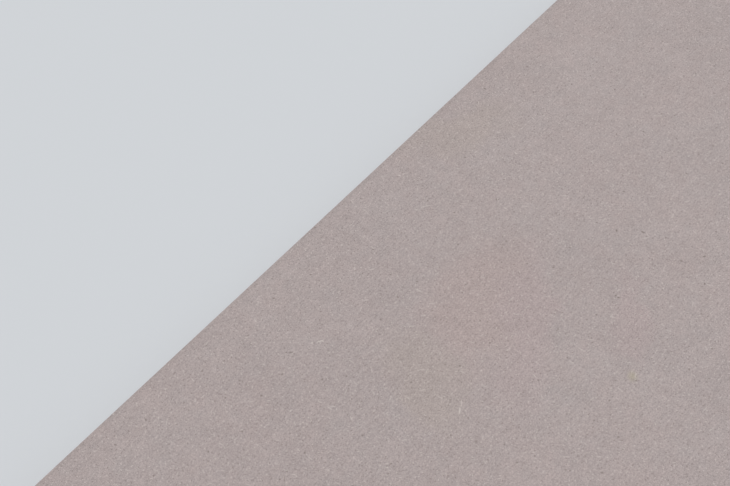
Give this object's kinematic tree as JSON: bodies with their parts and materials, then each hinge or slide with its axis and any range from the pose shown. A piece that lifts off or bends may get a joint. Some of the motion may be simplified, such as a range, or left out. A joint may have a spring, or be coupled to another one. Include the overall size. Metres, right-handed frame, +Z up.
{
  "type": "medium density fibreboard panel",
  "caption": "Plain rectangular panel of medium density fibreboard, lying flat, with sanded faces and square sawn edges.",
  "frame": {"origin": "centre of the back face, which the panel lies on", "axes": "+X along the panel's length, +Y across its width, +Z up through its thickness"},
  "size_m": [1.22, 0.61, 0.018],
  "materials": {
    "raw_fibreboard": "bare pressed wood fibre, fine sanded faces and sawn edges, matt"
  },
  "bodies": {
    "root": {"mdf_panel": "raw_fibreboard"}
  },
  "joints": []
}
